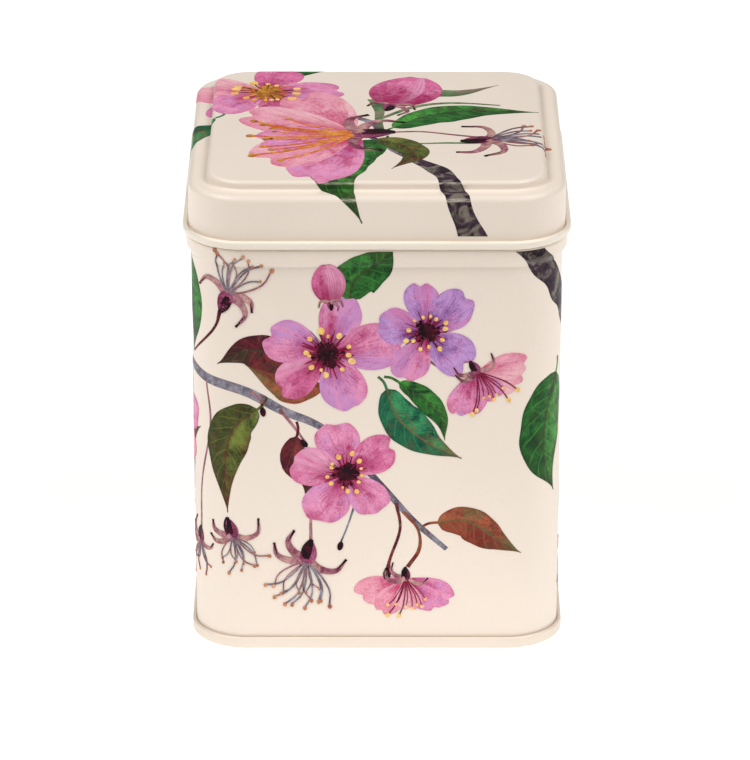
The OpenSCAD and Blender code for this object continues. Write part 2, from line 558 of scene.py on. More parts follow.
def ray(centre, angle, *distances):
    return [away(centre, angle, distance) for distance in distances]


# The width of a stroke that swells and narrows again.
def swell(most, start, span, power):
    return lambda s: [most * math.sin(math.pi * (start + span * s)) ** power] * 2


def pitchFor(fine):
    return filmSizes["finePitch" if fine else "pitch"]


def routeLength(points):
    return sum(math.dist(a, b) for a, b in zip(points, points[1:]))


# A stroke along a route: width(s) gives how far it reaches to the left and the right.
def stroke(film, points, width, inkName, rows, cols, seed=0.0):
    grid, spots = [], []
    for i, (p, v) in enumerate(smoothRoute(points, rows)):
        s = i / rows
        left, right = width(s)
        row, spotRow = [], []
        for j in range(cols + 1):
            across = 2 * j / cols - 1
            reach = (left if across < 0 else right) * across
            row.append((p.x + v.y * reach, p.y - v.x * reach))
            spotRow.append((across, s, seed))
        grid.append(row)
        spots.append(spotRow)
    addSlab(film, grid, spots, inkName)


# A leaf with a drawn-out tip and a stalk.
def leaf(films, points, width, inkName, seed, fine=False):
    rng = random.Random(seed)
    lean = rng.uniform(0.86, 1.14)
    wave = rng.uniform(0, 6.28)

    def half(s):
        body = math.sin(math.pi * min(1, s ** 0.76)) ** lerp(0.7, 1.4, s)
        edge = 1 + 0.02 * math.sin(31 * s + wave) + 0.05 * math.sin(11 * s + 2 * wave)
        wide = max(0.02, body * edge) * width / 2
        return wide * lean, wide * (2 - lean)

    rows = max(18, round(routeLength(points) / pitchFor(fine)))
    cols = 2 * max(4, round(width / 2 / pitchFor(fine)))
    stroke(films["leaves"], points, half, inkName, rows, cols, rng.uniform(0, 9))
    root, onward = Vector(points[0]), Vector(points[1])
    back = (root - onward).normalized() * 3.2
    turn = Vector((-back.y, back.x)) * 0.2
    stalk = [root - back * 0.3, root + back * 0.5, root + back + turn]
    stroke(films["twigs"], stalk, lambda s: [0.28] * 2, inkName, 8, 2)


# A twig: widths are given at even steps along it.
def branch(films, points, widths, inkName, seed, fine=False):
    rng = random.Random(seed)
    waves = [(rng.uniform(0.25, 0.9), rng.uniform(0, 6.28), rng.uniform(0.03, 0.08)) for _ in range(4)]
    length = routeLength(points)

    def half(s):
        place = s * (len(widths) - 1)
        k = min(int(place), len(widths) - 2)
        wide = lerp(widths[k], widths[k + 1], place - k) / 2
        left = wide * (1 + sum(a * math.sin(f * s * length + w) for f, w, a in waves[:2]))
        right = wide * (1 + sum(a * math.sin(f * s * length + w) for f, w, a in waves[2:]))
        return left, right

    thick = max(widths)
    rows = max(8, round(length / pitchFor(fine)))
    cols = 2 * max(1, round(thick / 2 / max(pitchFor(fine), 0.5))) if thick > 0.8 else 2
    stroke(films["twigs"], points, half, inkName, rows, cols, rng.uniform(0, 9))


def disc(film, centre, radius, inkName, stretch=1.0, turn=0.0, rows=8):
    points = ray(centre, turn, -radius * stretch, 0, radius * stretch)

    def half(s):
        return [radius * math.sqrt(max(0.02, 1 - (2 * s - 1) ** 2))] * 2

    stroke(film, points, half, inkName, rows, 4, 0.5)


petalWaves = (((1.2, 2.2), 0.04), ((4, 6), 0.014))


# A petal as a fan about the blossom's middle. squash = (direction, factor) flattens it for a side view.
def petal(films, centre, angle, length, inkName, seed, spread, fine, notch=0.1, squash=None):
    rng = random.Random(seed)
    tone = rng.uniform(0, 12)
    waves = [(rng.uniform(*pace), rng.uniform(0, 6.28), size) for pace, size in petalWaves]
    lean = rng.uniform(-8, 8)
    span = math.radians(spread)
    rows = round(length / 0.3) if fine else max(7, round(length / 1.5))
    cols = round(length * 2.6) if fine else 28
    grid, spots = [], []
    for i in range(rows + 1):
        r = lerp(0.07, 1, i / rows)
        row, spotRow = [], []
        for j in range(cols + 1):
            across = (2 * j / cols - 1) * 0.985
            phi = -across * span
            reach = math.cos(across * math.pi / 2) ** 0.36
            reach *= 1 + sum(a * math.sin(f * phi * 3 + w) for f, w, a in waves)
            reach *= 1 - notch * math.exp(-((across / 0.13) ** 2))
            narrow = 0.6 + 0.4 * min(1, r / 0.55) ** 1.3
            a = math.radians(angle + lean * r * r) + phi * narrow
            x, y = math.cos(a) * reach * r * length, math.sin(a) * reach * r * length
            if squash:
                dx, dy = away((0, 0), math.radians(squash[0]), 1)
                along = (1 - squash[1]) * (x * dx + y * dy)
                x, y = x - along * dx, y - along * dy
            row.append((centre[0] + x, centre[1] + y))
            spotRow.append((across, r, tone))
        grid.append(row)
        spots.append(spotRow)
    addSlab(films["petals"], grid, spots, inkName)


def addStamen(films, place, turn, reach, kind, n):
    height = filmSizes["stamenBase"] + filmSizes["step"] * (n % 4)
    films["stamens"].append(dict(place=place, turn=turn, reach=reach, kind=kind, height=height))


# An open blossom: petals, streaks, a dark beaded heart, and points for the stamens to be set on.
def blossom(films, centre, length, turn, petalInks, seed, stamens=13, fine=False, heart="heart"):
    rng = random.Random(seed)
    for n in (0, 2, 4, 1, 3):
        angle, reach = turn + 72 * n + rng.uniform(-6, 6), length * rng.uniform(0.96, 1.14)
        inkName, spread = petalInks[n % len(petalInks)], rng.uniform(34, 44)
        notch = rng.uniform(0.0, 0.13)
        petal(films, centre, angle, reach, inkName, seed * 7 + n, spread, fine, notch)
    streakInk = "crimson" if heart == "heart" else "amber"
    for n in range(26):
        a = math.radians(turn + 360 / 26 * n + rng.uniform(-7, 7))
        start, reach = length * 0.14, length * rng.uniform(0.26, 0.46)
        points = ray(centre, a, start, lerp(start, reach, 0.5), reach)
        wide = length * rng.uniform(0.01, 0.026)
        stroke(films["lines"], points, lambda s: [max(0.05, wide * (1 - 0.7 * s))] * 2, streakInk, 5, 2)
    disc(films["lines"], centre, length * 0.17, heart)
    for n in range(19):
        a = math.radians(360 / 19 * n + rng.uniform(-8, 8))
        spot = away(centre, a, length * rng.uniform(0.13, 0.23))
        disc(films["lines"], spot, length * rng.uniform(0.032, 0.052), heart, rows=6)
    for n in range(stamens):
        a = math.radians(360 / stamens * n + rng.uniform(-12, 12))
        addStamen(films, away(centre, a, length * 0.12), a, length * rng.uniform(0.16, 0.34), n % 2, n)


# A blossom that hangs or faces away: petals on one side, with a sepal cup and stamens below.
def sideBlossom(films, centre, length, facing, petalInks, seed, stamens=9, fine=False, kind=2):
    rng = random.Random(seed)
    for k, off in enumerate((-58, 58, -30, 30, 0)):
        angle = facing + off + rng.uniform(-5, 5)
        reach = length * (1.05 - 0.2 * (k == 4)) * rng.uniform(0.92, 1.05)
        inkName, spread = petalInks[k % len(petalInks)], rng.uniform(28, 36)
        petal(films, centre, angle, reach, inkName, seed * 5 + k, spread, fine, squash=(facing, 0.86))
    cup(films, centre, length * 0.15, facing + 180, seed)
    fanStamens(films, centre, facing, 36, (length * 0.5, length * 0.86), (kind,), stamens, rng)


def fanStamens(films, centre, facing, half, reaches, kinds, count, rng):
    for n in range(count):
        a = math.radians(facing + lerp(-half, half, n / max(1, count - 1)) + rng.uniform(-5, 5))
        place = away(centre, a, 0.12 * reaches[0])
        addStamen(films, place, a, rng.uniform(*reaches), kinds[n % len(kinds)], n)


# The cup behind a blossom: long sepals that curl back to dark tips, and a dark-sided bulb at the stem.
def cup(films, centre, size, facing, seed):
    rng, lines = random.Random(seed), films["lines"]
    back = math.radians(facing)
    for n in range(3):
        side = -1 if n % 2 else 1
        a = back + side * math.radians(112 - 34 * (n // 2) + rng.uniform(-9, 9))
        reach = size * rng.uniform(2.2, 3.1)
        curl = side * rng.uniform(0.5, 0.85)
        wide = size * rng.uniform(0.26, 0.36)
        route = ray(centre, a, 0.1 * size, 0.45 * reach)
        tip = [away(centre, a - 0.4 * curl, 0.8 * reach), away(centre, a - curl, reach)]
        stroke(lines, route + tip, lambda s: [wide * (1 - s) ** 0.6 + 0.08] * 2, "sepal", 12, 4, seed)
        stroke(lines, tip, lambda s: [0.07 * size * (0.4 + s)] * 2, "heart", 5, 2)
    bulb = ray(centre, back, -0.3 * size, 0.5 * size, 1.5 * size)
    stroke(lines, bulb, swell(0.62 * size, 0.14, 0.8, 0.8), "cup", 10, 6)
    dark = [(0.3, 0.1), (0.25, 0.8), (0, 1.7)]
    dark = [away(centre, back + turn, reach * size) for turn, reach in dark]
    stroke(lines, dark, swell(0.4 * size, 0.1, 0.82, 0.8), "heart", 8, 4)


# A cup that has lost its petals, with a brush of long stamens.
def bareCup(films, centre, size, facing, seed, stamens=11):
    rng = random.Random(seed)
    fanStamens(films, centre, facing, 40, (size * 2.2, size * 4.0), (3, 4, 3), stamens, rng)
    cup(films, centre, size, facing + 180, seed)


# A closed bud, no bigger than the end of its stalk.
def knob(films, centre, size, angle):
    disc(films["lines"], centre, size, "heart", stretch=1.7, turn=math.radians(angle))


# A larger bud of three folded petals in a cup.
def bud(films, centre, length, angle, inkName, seed):
    a = math.radians(angle)
    middle, tip = ray(centre, a, length / 2, length)
    rows = max(12, round(length / 0.5))
    for k, (shift, wide) in enumerate(((-0.12, 0.62), (0.12, 0.56), (0.0, 0.42))):
        points = [centre, away(middle, a + math.pi / 2, shift * length), tip]
        width = swell(wide / 2 * length, 0.06, 0.88, 0.7)
        stroke(films["petals"], points, width, inkName, rows, 8, seed + k)
    cup(films, centre, length * 0.12, angle + 180, seed)


# A flat film as a mesh object, trimmed to the printed height or width, with its ink attributes.
def filmObject(film, name, low, high):
    mesh = bpy.data.meshes.new(name)
    mesh.from_pydata([(x * mm, y * mm, z * mm) for x, y, z in film["places"]], [], film["faces"])
    addMarks(mesh, "inkSpot", "FLOAT_VECTOR", "vector", [c for place in film["inkSpot"] for c in place])
    for key in colourNames:
        addMarks(mesh, key, "FLOAT_COLOR", "color", [c for colour in film[key] for c in (*colour, 1)])
    trims = [(axis, side, (low, high)[side > 0][axis] * mm) for axis in (0, 1) for side in (-1, 1)]
    folds = [(1, 1, height) for height in (flareStart, flareEnd)] if "wall" in name else []

    def sliceUp(work):
        for i, (axis, side, height) in enumerate(trims + folds):
            place, normal = Vector(), Vector()
            place[axis], normal[axis] = height, side
            geometry = work.verts[:] + work.edges[:] + work.faces[:]
            trim = i < len(trims)
            bmesh.ops.bisect_plane(work, geom=geometry, plane_co=place, plane_no=normal, clear_outer=trim)
            if trim:
                fillHoles(work)

    reshape(mesh, sliceUp)
    return addObject(name + "Flat", mesh)


# The wall's print lies flat on the wall, and turns out over the flank of the stop bead.
def buildWallWrap():
    inputs = {"Film": "Geometry", "Path": "Object", "Material": "Material"}
    inputs.update(dict.fromkeys(("Flare Start", "Flare End", "Flare Reach"), "Float"))
    g, given, result = newTree("wrapWall", "Geometry", inputs, {"Print": "Geometry"})
    path = g.shape(given["Path"])
    flat = g.split(g.put("GeometryNodeInputPosition"))
    around = g.put("GeometryNodeCurveLength", {"Curve": path})
    sample = g.sampleCurve(path, g.maths("FLOORED_MODULO", flat["X"], around))
    outward = g.vector("NORMALIZE", g.vector("CROSS_PRODUCT", sample["Tangent"], (0, 0, 1)))
    flare = g.fade(flat["Y"], given["Flare Start"], given["Flare End"], 0.0, given["Flare Reach"])
    moved = g.vector("SCALE", outward, g.add(flat["Z"], flare))
    moved = g.vector("ADD", sample["Position"], moved)
    return finishWrap(g, given, result, g.vector("ADD", moved, g.join(Z=flat["Y"])))


def finishWrap(g, given, result, moved):
    values = {"Geometry": given["Film"], "Position": moved}
    return finishTree(g, given, result, g.put("GeometryNodeSetPosition", values))


# The lid's print is drawn in plan. Past the core square it follows the lid's own outline down the side.
def buildLidWrap():
    inputs = {"Film": "Geometry", "Outline": "Object", "Material": "Material", "Core": "Float"}
    g, given, result = newTree("wrapLid", "Geometry", inputs, {"Print": "Geometry"})
    flat = g.split(g.put("GeometryNodeInputPosition"))
    plan = g.join(X=flat["X"], Y=flat["Y"])
    most = g.join(X=given["Core"], Y=given["Core"])
    inner = g.vector("MINIMUM", plan, most)
    inner = g.vector("MAXIMUM", inner, g.vector("SCALE", most, -1.0))
    past = g.vector("SUBTRACT", plan, inner)
    sample = g.sampleCurve(g.shape(given["Outline"]), g.vector("LENGTH", past))
    spot = g.split(sample["Position"])
    lean = g.split(g.vector("NORMALIZE", sample["Tangent"]))
    out = g.multiplyAdd(lean["Z"], g.multiply(flat["Z"], -1.0), spot["X"])
    up = g.multiplyAdd(lean["X"], flat["Z"], spot["Z"])
    moved = g.vector("ADD", inner, g.vector("SCALE", g.vector("NORMALIZE", past), out))
    return finishWrap(g, given, result, g.vector("ADD", moved, g.join(Z=up)))


stamenMarks = ("turn", "reach", "kind")
stamenKinds = {
    0: {"filament": "crimson", "anther": "pollen", "bend": 0.05, "width": 0.05, "knob": 0.19},
    1: {"filament": "heart", "anther": "pollen", "bend": -0.06, "width": 0.05, "knob": 0.15},
    2: {"filament": "crimson", "anther": "pollen", "bend": 0.06, "width": 0.028, "knob": 0.05},
    3: {"filament": "slate", "anther": "ochre", "bend": 0.13, "width": 0.032, "knob": 0.04},
    4: {"filament": "stem", "anther": "ochre", "bend": -0.16, "width": 0.03, "knob": 0.045},
    5: {"filament": "amber", "anther": "gold", "bend": 0.06, "width": 0.03, "knob": 0.034},
}


def stamenTemplate(kind, values):
    film = newFilm(sunk=0.2)
    route = [(0, 0), (0.34, 0.8 * values["bend"]), (0.7, values["bend"]), (0.98, 0)]
    stroke(film, route, lambda s: [values["width"] / 2] * 2, values["filament"], 8, 2)
    disc(film, (1.0, 0.0), values["knob"], values["anther"], stretch=1.2)
    return filmObject(film, f"stamen{kind}", (-9, -9), (9, 9))


# Sets a stamen on every point, turned and stretched by the point's own numbers.
def buildScatterTree():
    kinds = {f"Stamen {kind}": "Object" for kind in stamenKinds}
    inputs = {"Points": "Geometry", **kinds, "Material": "Material"}
    g, given, result = newTree("scatterStamens", "Geometry", inputs, {"Film": "Geometry"})
    turn, reach, kind = (
        g.put("GeometryNodeInputNamedAttribute", {"Name": key}, data_type="FLOAT") for key in stamenMarks
    )
    rotation = g.put("FunctionNodeEulerToRotation", {"Euler": g.join(Z=turn)})
    flat = g.join(X=reach, Y=reach, Z=1.0)
    joined = g.node("GeometryNodeJoinGeometry")
    for number in stamenKinds:
        values = {
            "Points": given["Points"],
            "Selection": g.maths("COMPARE", kind, float(number), 0.1),
            "Instance": g.shape(given[f"Stamen {number}"]),
            "Rotation": rotation,
            "Scale": flat,
        }
        g.link(g.put("GeometryNodeInstanceOnPoints", values), joined.inputs[0])
    return finishTree(g, given, result, joined.outputs[0])


def stamenPoints(stamens, name):
    mesh = bpy.data.meshes.new(name)
    places = [(*s["place"], s["height"]) for s in stamens]
    mesh.from_pydata([(x * mm, y * mm, z * mm) for x, y, z in places], [], [])
    for key in stamenMarks:
        addMarks(mesh, key, "FLOAT", "value", [float(s[key]) for s in stamens])
    return addObject(name + "Points", mesh)


# Draws a list of shapes, each a drawing function with its values.
def drawn(art):
    films = {key: newFilm(*levels) for key, levels in filmLevels.items()}
    films["stamens"] = []
    for draw, *values in art:
        draw(films, *values)
    return films


# Copies a finished drawing to another place round the tin.
def paste(target, drawing, shift):
    for key, film in drawing.items():
        if key == "stamens":
            target[key] += [{**s, "place": (shift + s["place"][0], s["place"][1])} for s in film]
            continue
        start = len(target[key]["places"])
        target[key]["places"] += [(shift + x, y, z) for x, y, z in film["places"]]
        for part in ("inkSpot",) + colourNames:
            target[key][part] += film[part]
        target[key]["faces"] += [tuple(start + i for i in face) for face in film["faces"]]


# The print on the wall's front: the first number runs to the right from the middle, the second up
# from the foot.
frontArt = [
    (branch, [(-52, 60.5), (-44, 61), (-36, 59.8), (-27, 58), (-19, 53.5), (-10, 49), (0, 38),
              (8, 28.5), (14.5, 22.5)],
     [2.0, 2.1, 2.2, 2.1, 1.9, 1.5, 1.4, 1.3, 1.0], "slate", 3),
    (branch, [(-20, 54), (-17, 50), (-15, 47)], [0.7, 0.6, 0.5], "stem", 4),
    (branch, [(-26, 58), (-24, 56.5), (-23.5, 54)], [0.7, 0.6, 0.5], "stem", 5),
    (branch, [(-11, 48.5), (-12, 40), (-13.6, 30), (-13.7, 24)], [0.4, 0.45, 0.5, 0.8], "stem", 6),
    (branch, [(-4, 34.5), (-6, 28), (-7.5, 24)], [0.5, 0.4, 0.4], "slate", 7),
    (branch, [(4, 33), (4.8, 27), (2.8, 20.5), (2.2, 17.5)], [0.7, 0.6, 0.6, 1.0], "wine", 8),
    (branch, [(5.5, 31), (8.5, 27), (8.8, 22.5), (6.4, 18.4)], [0.6, 0.6, 0.7, 0.9], "rust", 9),
    (branch, [(-32.1, 75.4), (-33.2, 72), (-36, 68.5), (-41, 64)], [0.9, 0.6, 0.5, 0.5], "wine", 10),
    (branch, [(-36, 59), (-35, 49), (-38, 36), (-38.6, 25.2)], [0.5, 0.5, 0.5, 0.7], "stem", 11),
    (branch, [(9, 67), (12, 63.8), (15.5, 64.2), (19.2, 64.8)], [0.5, 0.5, 0.6, 0.8], "stem", 12),
    (knob, (-7.6, 23.2), 0.6, -105),
    (knob, (2.1, 16.8), 0.8, -95),
    (knob, (-15, 46.4), 0.6, -50),
    (knob, (-23.4, 53.4), 0.6, -80),
    (leaf, [(-24.5, 54), (-29.5, 49.5), (-31.5, 41), (-31, 30.5)], 9.2, "olive", 21),
    (leaf, [(-16.5, 48), (-17.5, 43), (-14.5, 38.5), (-14.8, 34.5)], 6.2, "wine", 22),
    (leaf, [(-15, 61), (-21, 66), (-27, 67), (-33, 63.5)], 8.6, "wine", 23),
    (leaf, [(-11, 59), (-17, 58.5), (-21, 60), (-27, 64)], 6.0, "rust", 24),
    (leaf, [(-5.5, 78), (-4.5, 82.5), (0.5, 86.5), (3.5, 90)], 9.4, "green", 25),
    (leaf, [(2, 58.5), (4.5, 52), (10.5, 46.5), (17.5, 43)], 8.4, "teal", 26),
    (leaf, [(4.5, 60), (9, 57), (13, 52), (14, 47)], 4.6, "green", 27),
    (leaf, [(12.5, 28.5), (18.5, 29), (24.5, 25), (30, 21.5)], 7.4, "rust", 28),
    (blossom, (-10, 66.3), 13.4, 82, ("rose", "rose", "magenta"), 31),
    (blossom, (10.2, 71.2), 11.0, 104, ("mauve", "mauve", "rose"), 32),
    (blossom, (-6.4, 39.6), 11.2, 98, ("rose", "magenta", "rose"), 33),
    (bud, (-9.5, 77.5), 8.4, 96, "magenta", 34),
    (sideBlossom, (20.5, 62.5), 10.6, -58, ("rose", "blush"), 35),
    (sideBlossom, (6.0, 15.8), 10.4, -90, ("blush", "rose"), 36),
    (bareCup, (-30.5, 79), 2.6, 66, 41),
    (bareCup, (-30, 25.5), 2.4, -74, 42),
    (bareCup, (-14.5, 20), 2.8, -102, 43, 15),
    (bareCup, (-39, 22), 2.0, -96, 44, 8),
]

# The quieter print of a side: two twigs, hanging blossoms and large leaves.
sideArt = [
    (branch, [(-42, 91), (-33, 80), (-27, 71), (-20, 62), (-15, 50), (-14, 40)],
     [4.6, 5.4, 4.6, 3.2, 2.2, 1.2], "bark", 51),
    (branch, [(-27, 71), (-16, 74), (-4, 73), (10, 77), (22, 84)],
     [2.0, 1.8, 1.5, 1.3, 0.9], "slate", 52),
    (branch, [(-17, 56), (-6, 50), (6, 48), (18, 41), (27, 30)], [1.6, 1.3, 1.2, 1.0, 0.8], "slate", 53),
    (branch, [(8, 47.5), (9, 38), (6, 28), (5, 24)], [0.5, 0.5, 0.5, 0.9], "stem", 54),
    (branch, [(18, 41), (20, 34), (19, 28), (17.8, 23.6)], [0.5, 0.5, 0.5, 0.8], "stem", 55),
    (branch, [(-14, 40), (-15, 31), (-18.7, 20.6)], [0.6, 0.5, 0.7], "wine", 56),
    (branch, [(24.3, 60), (23.6, 56), (22.5, 51)], [0.7, 0.5, 0.5], "stem", 57),
    (leaf, [(-32, 60), (-35.5, 52), (-36, 42), (-32.5, 33.5)], 12.0, "green", 61),
    (leaf, [(-14, 42), (-20, 36), (-24, 28), (-25, 20)], 9.0, "teal", 62),
    (leaf, [(20, 83), (27, 80), (31, 73), (30, 64)], 9.4, "green", 63),
    (leaf, [(-3, 73), (-4, 80), (0, 85), (5, 88)], 7.6, "rust", 64),
    (leaf, [(26, 31), (25, 38), (27.5, 44), (33, 48)], 7.0, "olive", 65),
    (leaf, [(5, 48), (0, 42), (-2, 34), (0, 28)], 7.2, "wine", 66),
    (blossom, (8.5, 66), 12.6, 70, ("rose", "magenta", "rose"), 71),
    (blossom, (-8, 57.5), 9.8, 120, ("mauve", "rose"), 72),
    (blossom, (22, 49), 10.4, 85, ("rose", "blush"), 73),
    (sideBlossom, (5, 22), 10.0, -84, ("rose", "blush"), 74),
    (bareCup, (18.5, 20), 2.6, -78, 75),
    (bareCup, (-19.5, 17), 2.6, -104, 76, 11),
    (bud, (-22, 76), 8.0, 70, "magenta", 77),
    (bud, (24, 60), 6.0, 110, "rose", 78),
]

# The print of the lid, seen from above; past the core square it runs down the side.
lidArt = [
    (branch, [(8, -22), (12.5, -28), (15, -35), (17, -42), (20, -49.5)],
     [2.8, 4.2, 4.4, 4.8, 5.4], "bark", 81, True),
    (branch, [(-1, -8), (3, -14.5), (8, -22)], [1.4, 2.0, 2.8], "slate", 82, True),
    (branch, [(-13, 11), (-6, 5.5), (-1, 1), (1, -6)], [1.8, 1.8, 1.6, 1.4], "slate", 83, True),
    (branch, [(-0.5, 16), (0.5, 9), (0.5, 2), (1, -7)], [3.2, 2.2, 1.5, 1.6], "sprout", 84, True),
    (branch, [(2, -5), (9, -4.5), (16, -6.5), (21, -8)], [0.7, 0.7, 0.7, 1.0], "stem", 85, True),
    (branch, [(8, -12), (14, -11.5), (20, -11.5), (24, -10.5)],
     [0.6, 0.8, 0.9, 1.1], "sprout", 88, True),
    (branch, [(1, 4), (8, 11), (16, 13.5), (26, 12)], [1.0, 1.3, 1.0, 0.5], "sprout", 89, True),
    (leaf, [(3.5, -2), (11, 5.5), (21, 8.5), (34, 7.5)], 9.6, "green", 91, True),
    (leaf, [(1, -10), (-6, -20), (-8.5, -32), (-3, -45)], 13.0, "green", 92, True),
    (leaf, [(0, -9), (5, -13), (7.5, -19), (3, -27)], 7.2, "olive", 93, True),
    (leaf, [(3, 13), (11, 19), (18, 20), (26, 25)], 4.4, "sprout", 95, True),
    (blossom, (-23.5, 20), 16.5, 12, ("rose", "magenta", "blush"), 101, 13, True, "gold"),
    (sideBlossom, (-3.5, -6), 29.0, 188, ("blush", "rose", "blush"), 102, 13, True, 5),
    (bud, (3, 12), 18.5, 72, "magenta", 103),
    (bareCup, (23, -9.5), 3.4, 8, 104, 11),
    (blossom, (29, 46), 10.0, 40, ("rose", "mauve"), 105, 13, True),
    (leaf, [(-34, 4), (-41, -2), (-44, -10), (-46, -18)], 8.4, "teal", 107, True),
    (leaf, [(-20, 30), (-14, 38), (-12, 42), (-4, 47)], 8.0, "green", 108, True),
]


def drawEverything():
    wall, front, side = drawn([]), drawn(frontArt), drawn(sideArt)
    quarter = core * 2 / mm + corner / mm * math.pi / 2
    for turn, drawing in enumerate((front, side, front, side)):
        paste(wall, drawing, turn * quarter)
    return wall, drawn(lidArt)


wallFilms, lidFilms = drawEverything()
print("art drawn", {key: len(wallFilms[key]["faces"]) for key in filmLevels})


# Lacquer on tinplate: faint mottling, fine orange peel, and light rubbing in patches.
def buildLacquerSkin():
    inputs = {"Tint": "Color", "Worn": "Color", "Rub": "Float"}
    outputs = {"Color": "Color", "Roughness": "Float", "Height": "Float"}
    g, given, result = newTree("lacquerSkin", "Shader", inputs, outputs)
    place = g.place()
    mottle = g.fade(g.noise(place, 38.0, 3.0, 0.4), 0.3, 0.7, 0.985, 1.012)
    grain = g.fade(g.noise(place, 2600.0), 0.3, 0.7, -0.012, 0.012)
    even = g.shade(given["Tint"], g.add(mottle, grain))
    scuff = g.fade(g.noise(place, 420.0, 5.0, 1.2, 0.65), 0.6, 0.74)
    patch = g.fade(g.noise(place, 60.0), 0.5, 0.65)
    worn = g.multiply(g.multiply(scuff, patch), given["Rub"])
    smudge = g.fade(g.noise(place, 70.0, 4.0, 0.8), 0.3, 0.7, -0.05, 0.06)
    g.link(g.mix(worn, even, given["Worn"]), result["Color"])
    g.link(g.add(g.add(smudge, 0.42), g.multiply(worn, 0.2)), result["Roughness"])
    peel = g.multiplyAdd(g.noise(place, 4200.0, 1.0), 0.25, g.noise(place, 760.0))
    g.link(peel, result["Height"])
    return g.tree


# Watercolour: pale and deep pools of one ink, a second ink bleeding in, and a dark rim where it dried.
def buildWash():
    inputs = {"Place": "Vector", "Deep": "Color", "Pale": "Color", "Accent": "Color"}
    inputs.update(dict.fromkeys(("Across", "Lean", "Bleed", "Rim"), "Float"))
    g, given, result = newTree("watercolourWash", "Shader", inputs, {"Color": "Color"})
    place = given["Place"]
    pools = g.noise(place, 230.0, 3.0, 0.9)
    strokes = g.noise(place, 900.0, 3.0, 1.4, 0.6)
    tone = g.add(g.multiply(pools, 0.62), g.multiply(strokes, 0.38))
    tone = g.add(tone, g.multiply(given["Lean"], 0.3))
    colour = g.mix(g.fade(tone, 0.36, 0.64), given["Deep"], given["Pale"])
    shifted = g.vector("ADD", place, (0.031, 0.047, 0.013))
    bleed = g.fade(g.noise(shifted, 260.0, 4.0, 1.1), 0.5, 0.62)
    colour = g.mix(g.multiply(bleed, given["Bleed"]), colour, given["Accent"])
    edge = g.multiply(g.fade(given["Across"], 0.84, 0.985), given["Rim"])
    edge = g.multiply(edge, g.fade(strokes, 0.35, 0.6))
    colour = g.mix(edge, colour, given["Deep"])
    grit = g.fade(g.noise(place, 3600.0), 0.32, 0.68, 0.8, 1.2)
    g.link(g.shade(colour, grit), result["Color"])
    return g.tree


# What runs out along a petal: dark hair lines, pale brush marks, a dark foot, a second tone on one side.
def buildPetalVeins():
    names = ("Veins", "Gleam", "Foot", "Split")
    inputs = {"Place": "Vector", "Spot": "Vector"}
    g, given, result = newTree("petalVeins", "Shader", inputs, dict.fromkeys(names, "Float"))
    place = given["Place"]
    across, out, seed = g.split(given["Spot"])
    waver = g.multiply(g.noise(place, 420.0), 3.2)
    wave = g.maths("SINE", g.multiplyAdd(across, 26.0, waver))
    broad = g.maths("SINE", g.multiplyAdd(across, 11.0, g.add(waver, seed)))
    broken = g.fade(g.noise(place, 800.0, 3.0), 0.4, 0.6)
    veins = g.multiply(g.multiply(g.fade(wave, 0.5, 0.95), broken), g.fade(out, 0.95, 0.6))
    gleam = g.fade(g.multiplyAdd(wave, 0.5, broad), 0.2, 1.2)
    gleam = g.multiply(gleam, g.fade(out, 0.25, 0.6))
    foot = g.fade(g.multiplyAdd(wave, 0.07, out), 0.58, 0.2)
    lean = g.multiplyAdd(g.maths("SINE", g.multiply(seed, 2.3)), 0.8, -0.35)
    split = g.fade(g.add(g.multiplyAdd(broad, 0.12, across), lean), 0.1, 0.5)
    for name, value in zip(names, (veins, gleam, foot, split)):
        g.link(value, result[name])
    return g.tree


# A leaf's midrib and side veins, its darker half and its turning tip.
def buildLeafVeins():
    names = ("Rib", "Side", "Half", "Tip")
    inputs = {"Place": "Vector", "Spot": "Vector"}
    g, given, result = newTree("leafVeins", "Shader", inputs, dict.fromkeys(names, "Float"))
    place = given["Place"]
    x, y = g.split(given["Spot"])[:2]
    across = g.maths("ABSOLUTE", x)
    lean = g.multiplyAdd(across, -0.16, y)
    row = g.multiply(g.add(lean, g.multiply(g.noise(place, 300.0), 0.06)), 9.0)
    side = g.fade(g.maths("PINGPONG", row, 0.5), 0.09, 0.02)
    side = g.multiply(side, g.fade(across, 0.95, 0.7))
    half = g.fade(g.multiplyAdd(g.noise(place, 500.0, 3.0), 0.5, x), 0.1, 0.35)
    tip = g.fade(g.multiplyAdd(g.noise(place, 260.0, 3.0), 0.7, y), 0.95, 1.25)
    for name, value in zip(names, (g.fade(across, 0.09, 0.03), side, half, tip)):
        g.link(value, result[name])
    return g.tree


# The printed sheet was stretched over the lid's bends, so the ink shows pale hair lines there.
def buildBendLines():
    inputs = {"Panel Z": "Float", "Ledge Z": "Float"}
    g, given, result = newTree("bendLines", "Shader", inputs, {"Pale": "Float"})
    place = g.place()
    height = g.split(place)["Z"]
    streaks = g.noise(g.vector("MULTIPLY", place, (1.0, 1.0, 9.0)), 620.0, 3.0)
    bands = []
    for name, drop, width in (("Panel Z", 0.42 * mm, 0.24 * mm), ("Ledge Z", 0.75 * mm, 0.4 * mm)):
        gap = g.maths("ABSOLUTE", g.maths("SUBTRACT", g.add(height, drop), given[name]))
        bands.append(g.fade(gap, width, 0.3 * width))
    pale = g.multiply(g.maths("MAXIMUM", *bands), g.fade(streaks, 0.35, 0.6))
    g.link(pale, result["Pale"])
    return g.tree


groups = {
    "skin": buildLacquerSkin(),
    "wash": buildWash(),
    "petal": buildPetalVeins(),
    "leaf": buildLeafVeins(),
    "bend": buildBendLines(),
}

